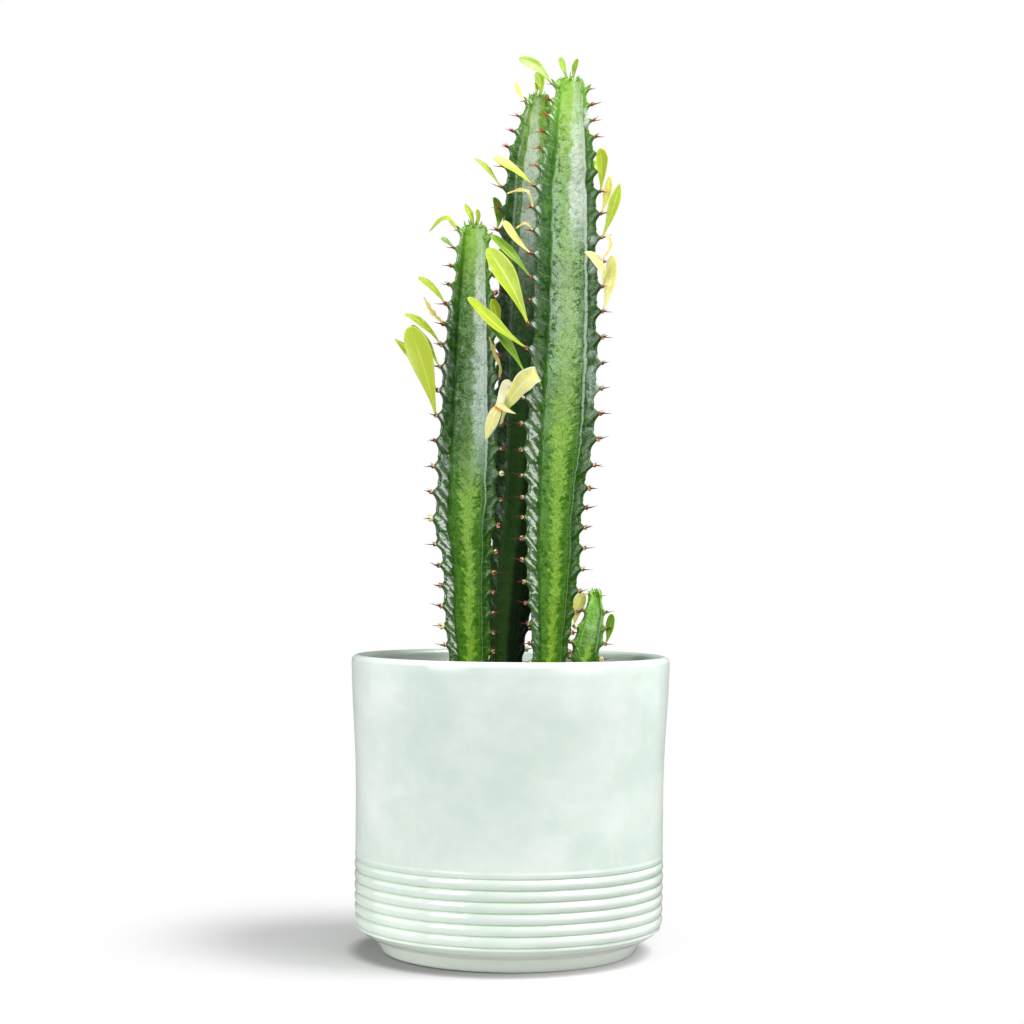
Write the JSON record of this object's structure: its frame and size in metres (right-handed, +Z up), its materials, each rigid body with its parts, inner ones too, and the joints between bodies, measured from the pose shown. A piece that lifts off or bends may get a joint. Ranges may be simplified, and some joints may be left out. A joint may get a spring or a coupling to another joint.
{
  "type": "potted african milk tree",
  "caption": "Ribbed succulent stems with toothed, spiny edges and small leaves, planted in soil in a round glazed pot that stands by itself.",
  "frame": {"origin": "centre of the pot's foot, on the surface that it stands on", "axes": "+Z up along the pot's axis, -Y towards the front of the plant, +X to the right as seen from the front"},
  "size_m": [0.195, 0.195, 0.5516],
  "materials": {
    "pot_glaze": "gloss",
    "potting_soil": "matte",
    "stem_skin": "satin",
    "leaf_fresh": "satin",
    "leaf_green": "satin",
    "leaf_yellow": "satin",
    "leaf_dry": "matte"
  },
  "bodies": {
    "root": {"pot": "pot_glaze", "soil": "potting_soil", "stem_left": "stem_skin", "stem_middle": "stem_skin", "stem_right": "stem_skin", "offshoot": "stem_skin", "leaf_right_1": "leaf_fresh", "leaf_right_2": "leaf_fresh", "leaf_right_3": "leaf_yellow", "leaf_right_4": "leaf_green", "leaf_right_5": "leaf_fresh", "leaf_right_6": "leaf_fresh", "leaf_right_7": "leaf_green", "leaf_right_8": "leaf_fresh", "leaf_right_9": "leaf_yellow", "leaf_right_10": "leaf_fresh", "leaf_right_11": "leaf_yellow", "leaf_right_12": "leaf_yellow", "leaf_right_13": "leaf_fresh", "leaf_right_14": "leaf_fresh", "leaf_right_15": "leaf_fresh", "leaf_right_16": "leaf_green", "leaf_middle_1": "leaf_fresh", "leaf_middle_2": "leaf_fresh", "leaf_middle_3": "leaf_yellow", "leaf_middle_4": "leaf_fresh", "leaf_middle_5": "leaf_green", "leaf_middle_6": "leaf_yellow", "leaf_middle_7": "leaf_fresh", "leaf_middle_8": "leaf_green", "leaf_middle_9": "leaf_fresh", "leaf_left_1": "leaf_fresh", "leaf_left_2": "leaf_fresh", "leaf_left_3": "leaf_green", "leaf_left_4": "leaf_fresh", "leaf_left_5": "leaf_fresh", "leaf_left_6": "leaf_fresh", "leaf_left_7": "leaf_fresh", "leaf_left_8": "leaf_fresh", "leaf_left_9": "leaf_fresh", "leaf_left_10": "leaf_green", "leaf_offshoot_1": "leaf_yellow", "leaf_offshoot_2": "leaf_green", "bent_leaf_right": "leaf_yellow", "bent_leaf_left": "leaf_yellow", "dry_leaf_right_1": "leaf_dry", "dry_leaf_right_2": "leaf_dry", "dry_leaf_right_3": "leaf_dry", "dry_leaf_left_1": "leaf_fresh", "dry_leaf_left_2": "leaf_dry", "dry_leaf_left_3": "leaf_dry"}
  },
  "joints": []
}
